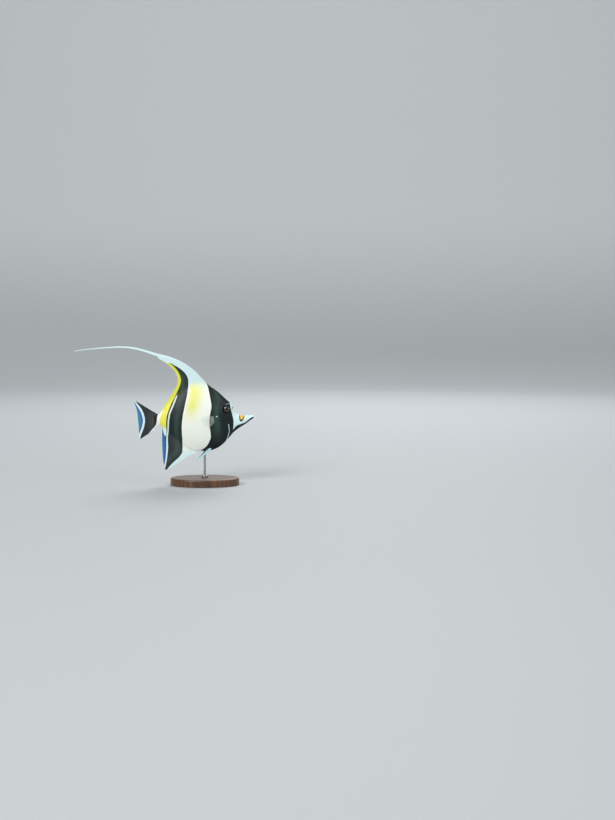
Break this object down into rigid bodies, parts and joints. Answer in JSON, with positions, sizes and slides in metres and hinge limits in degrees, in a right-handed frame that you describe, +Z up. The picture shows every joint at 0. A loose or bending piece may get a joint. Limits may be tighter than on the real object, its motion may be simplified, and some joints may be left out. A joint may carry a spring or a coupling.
{
  "type": "moorish idol",
  "caption": "Life-size moorish idol swimming level, with banded flanks, tubular snout and long dorsal streamer, on a plain wooden display stand with a short rod.",
  "frame": {"origin": "middle of the flat underside of the display stand's base", "axes": "+X towards the fish's snout, +Y towards its left flank, +Z up"},
  "size_m": [0.2899, 0.08, 0.2255],
  "materials": {
    "skin_black": "satin near-black skin with a hint of green",
    "skin_white": "satin off-white skin, washed with yellow above",
    "skin_yellow": "satin lemon-yellow skin",
    "fin_black": "satin black fin with fine rays",
    "fin_white": "satin white fin with fine rays",
    "fin_clear": "pale, half-clear fin membrane",
    "eye": "wet, glossy eye",
    "horn": "dull bony point",
    "stand_wood": "oiled dark wood",
    "stand_steel": "fine brushed steel"
  },
  "bodies": {
    "root": {"snout": "skin_white", "lower_jaw": "skin_black", "head": "skin_black", "trunk_shoulder": "skin_black", "trunk_flank": "skin_white", "trunk_rear": "skin_black", "tail_peduncle": "skin_yellow", "dorsal_fin_banner": "fin_white", "dorsal_fin_middle": "fin_black", "dorsal_fin_rear": "fin_black", "dorsal_streamer_1": "fin_white", "dorsal_streamer_2": "fin_white", "dorsal_streamer_3": "fin_white", "anal_fin_front": "fin_white", "anal_fin_rear": "fin_black", "caudal_fin": "fin_black", "pectoral_fin_right": "fin_clear", "pectoral_fin_left": "fin_clear", "pelvic_fin_right": "fin_black", "pelvic_fin_left": "fin_black", "eye_right": "eye", "eye_left": "eye", "horn_right": "horn", "horn_left": "horn", "stand_base": "stand_wood", "stand_rod": "stand_steel", "stand_collar": "stand_steel"}
  },
  "joints": []
}
